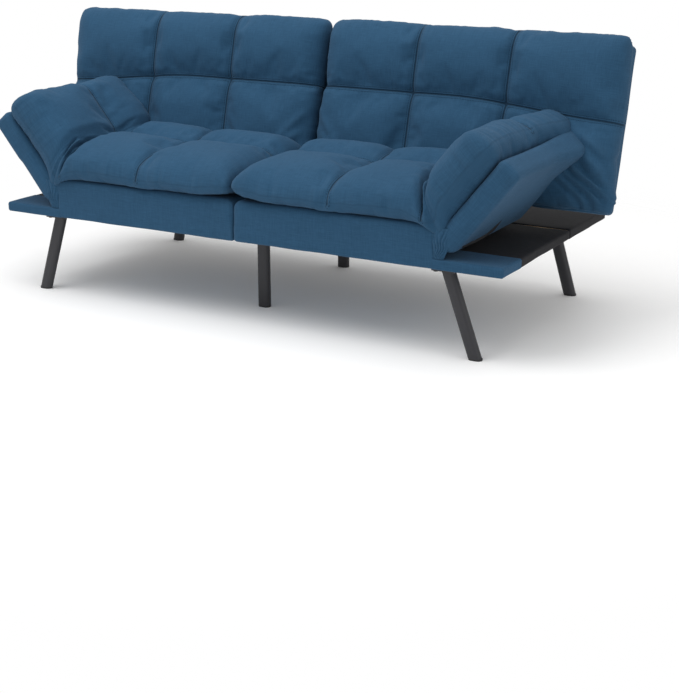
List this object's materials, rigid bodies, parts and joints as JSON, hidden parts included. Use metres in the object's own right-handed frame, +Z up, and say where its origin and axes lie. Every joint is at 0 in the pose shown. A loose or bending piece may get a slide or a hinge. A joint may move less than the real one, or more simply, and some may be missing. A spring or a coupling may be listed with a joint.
{
  "type": "futon sofa bed",
  "caption": "Split-back futon sofa bed with quilted blue fabric cushions, folding backs, folding arms and splayed oval-tube legs.",
  "frame": {"origin": "on the floor under the middle of the whole object, in its sofa pose", "axes": "+X to the viewer's right along the length, front faces -Y, +Z up"},
  "size_m": [1.83, 0.792, 0.805],
  "materials": {
    "blue_cushion_fabric": "woven linen-look polyester, quilted",
    "blue_cover_fabric": "woven linen-look polyester, pulled tight",
    "black_lining": "non-woven polypropylene",
    "elastic_webbing": "woven elastic strap",
    "powder_coated_steel": "satin powder coat",
    "hinge_steel": "black e-coat",
    "zinc_steel": "zinc plated",
    "black_plastic": "moulded",
    "plywood": "raw",
    "pine": "raw sawn"
  },
  "bodies": {
    "base": {"arm_hinge_pins_left": "zinc_steel", "arm_hinge_pins_right": "zinc_steel", "arm_hinge_seat_leaves_left": "hinge_steel", "arm_hinge_seat_leaves_right": "hinge_steel", "back_hinge_brackets_left": "hinge_steel", "back_hinge_brackets_right": "hinge_steel", "back_hinge_pins_left": "zinc_steel", "back_hinge_pins_right": "zinc_steel", "dust_cover_left": "black_lining", "dust_cover_right": "black_lining", "foot_caps": "black_plastic", "join_bolts": "zinc_steel", "join_nuts": "zinc_steel", "leg_front_left": "powder_coated_steel", "leg_front_right": "powder_coated_steel", "leg_middle_front": "powder_coated_steel", "leg_middle_rear": "powder_coated_steel", "leg_plates": "powder_coated_steel", "leg_rear_left": "powder_coated_steel", "leg_rear_right": "powder_coated_steel", "leg_screws": "zinc_steel", "platform_board_left": "plywood", "platform_board_right": "plywood", "platform_cover_left": "blue_cover_fabric", "platform_cover_right": "blue_cover_fabric", "seat_cover_left": "blue_cover_fabric", "seat_cover_right": "blue_cover_fabric", "seat_cushion_left": "blue_cushion_fabric", "seat_cushion_right": "blue_cushion_fabric", "seat_frame_left": "pine", "seat_frame_right": "pine", "seat_springs_left": "zinc_steel", "seat_springs_right": "zinc_steel"},
    "back_left": {"back_cover_left": "blue_cover_fabric", "back_cushion_left": "blue_cushion_fabric", "back_frame_left": "pine", "back_hinge_leaves_left": "hinge_steel", "back_lining_left": "black_lining", "back_webbing_left": "elastic_webbing"},
    "back_right": {"back_cover_right": "blue_cover_fabric", "back_cushion_right": "blue_cushion_fabric", "back_frame_right": "pine", "back_hinge_leaves_right": "hinge_steel", "back_lining_right": "black_lining", "back_webbing_right": "elastic_webbing"},
    "arm_left": {"arm_cover_left": "blue_cover_fabric", "arm_cushion_left": "blue_cushion_fabric", "arm_frame_left": "pine", "arm_hinge_arm_leaves_left": "hinge_steel", "arm_lining_left": "black_lining"},
    "arm_right": {"arm_cover_right": "blue_cover_fabric", "arm_cushion_right": "blue_cushion_fabric", "arm_frame_right": "pine", "arm_hinge_arm_leaves_right": "hinge_steel", "arm_lining_right": "black_lining"}
  },
  "joints": [
    {"name": "back_fold_left", "type": "hinge", "parent": "base", "child": "back_left", "pos_m": [-0.3, 0.108, 0.33], "axis": [-1, 0, 0], "range_deg": [0, 75]},
    {"name": "back_fold_right", "type": "hinge", "parent": "base", "child": "back_right", "pos_m": [0.3, 0.108, 0.33], "axis": [-1, 0, 0], "range_deg": [0, 75]},
    {"name": "arm_fold_left", "type": "hinge", "parent": "base", "child": "arm_left", "pos_m": [-0.645, -0.1465, 0.317], "axis": [0, -1, 0], "range_deg": [-8, 51]},
    {"name": "arm_fold_right", "type": "hinge", "parent": "base", "child": "arm_right", "pos_m": [0.645, -0.1465, 0.317], "axis": [0, 1, 0], "range_deg": [-8, 51]}
  ]
}
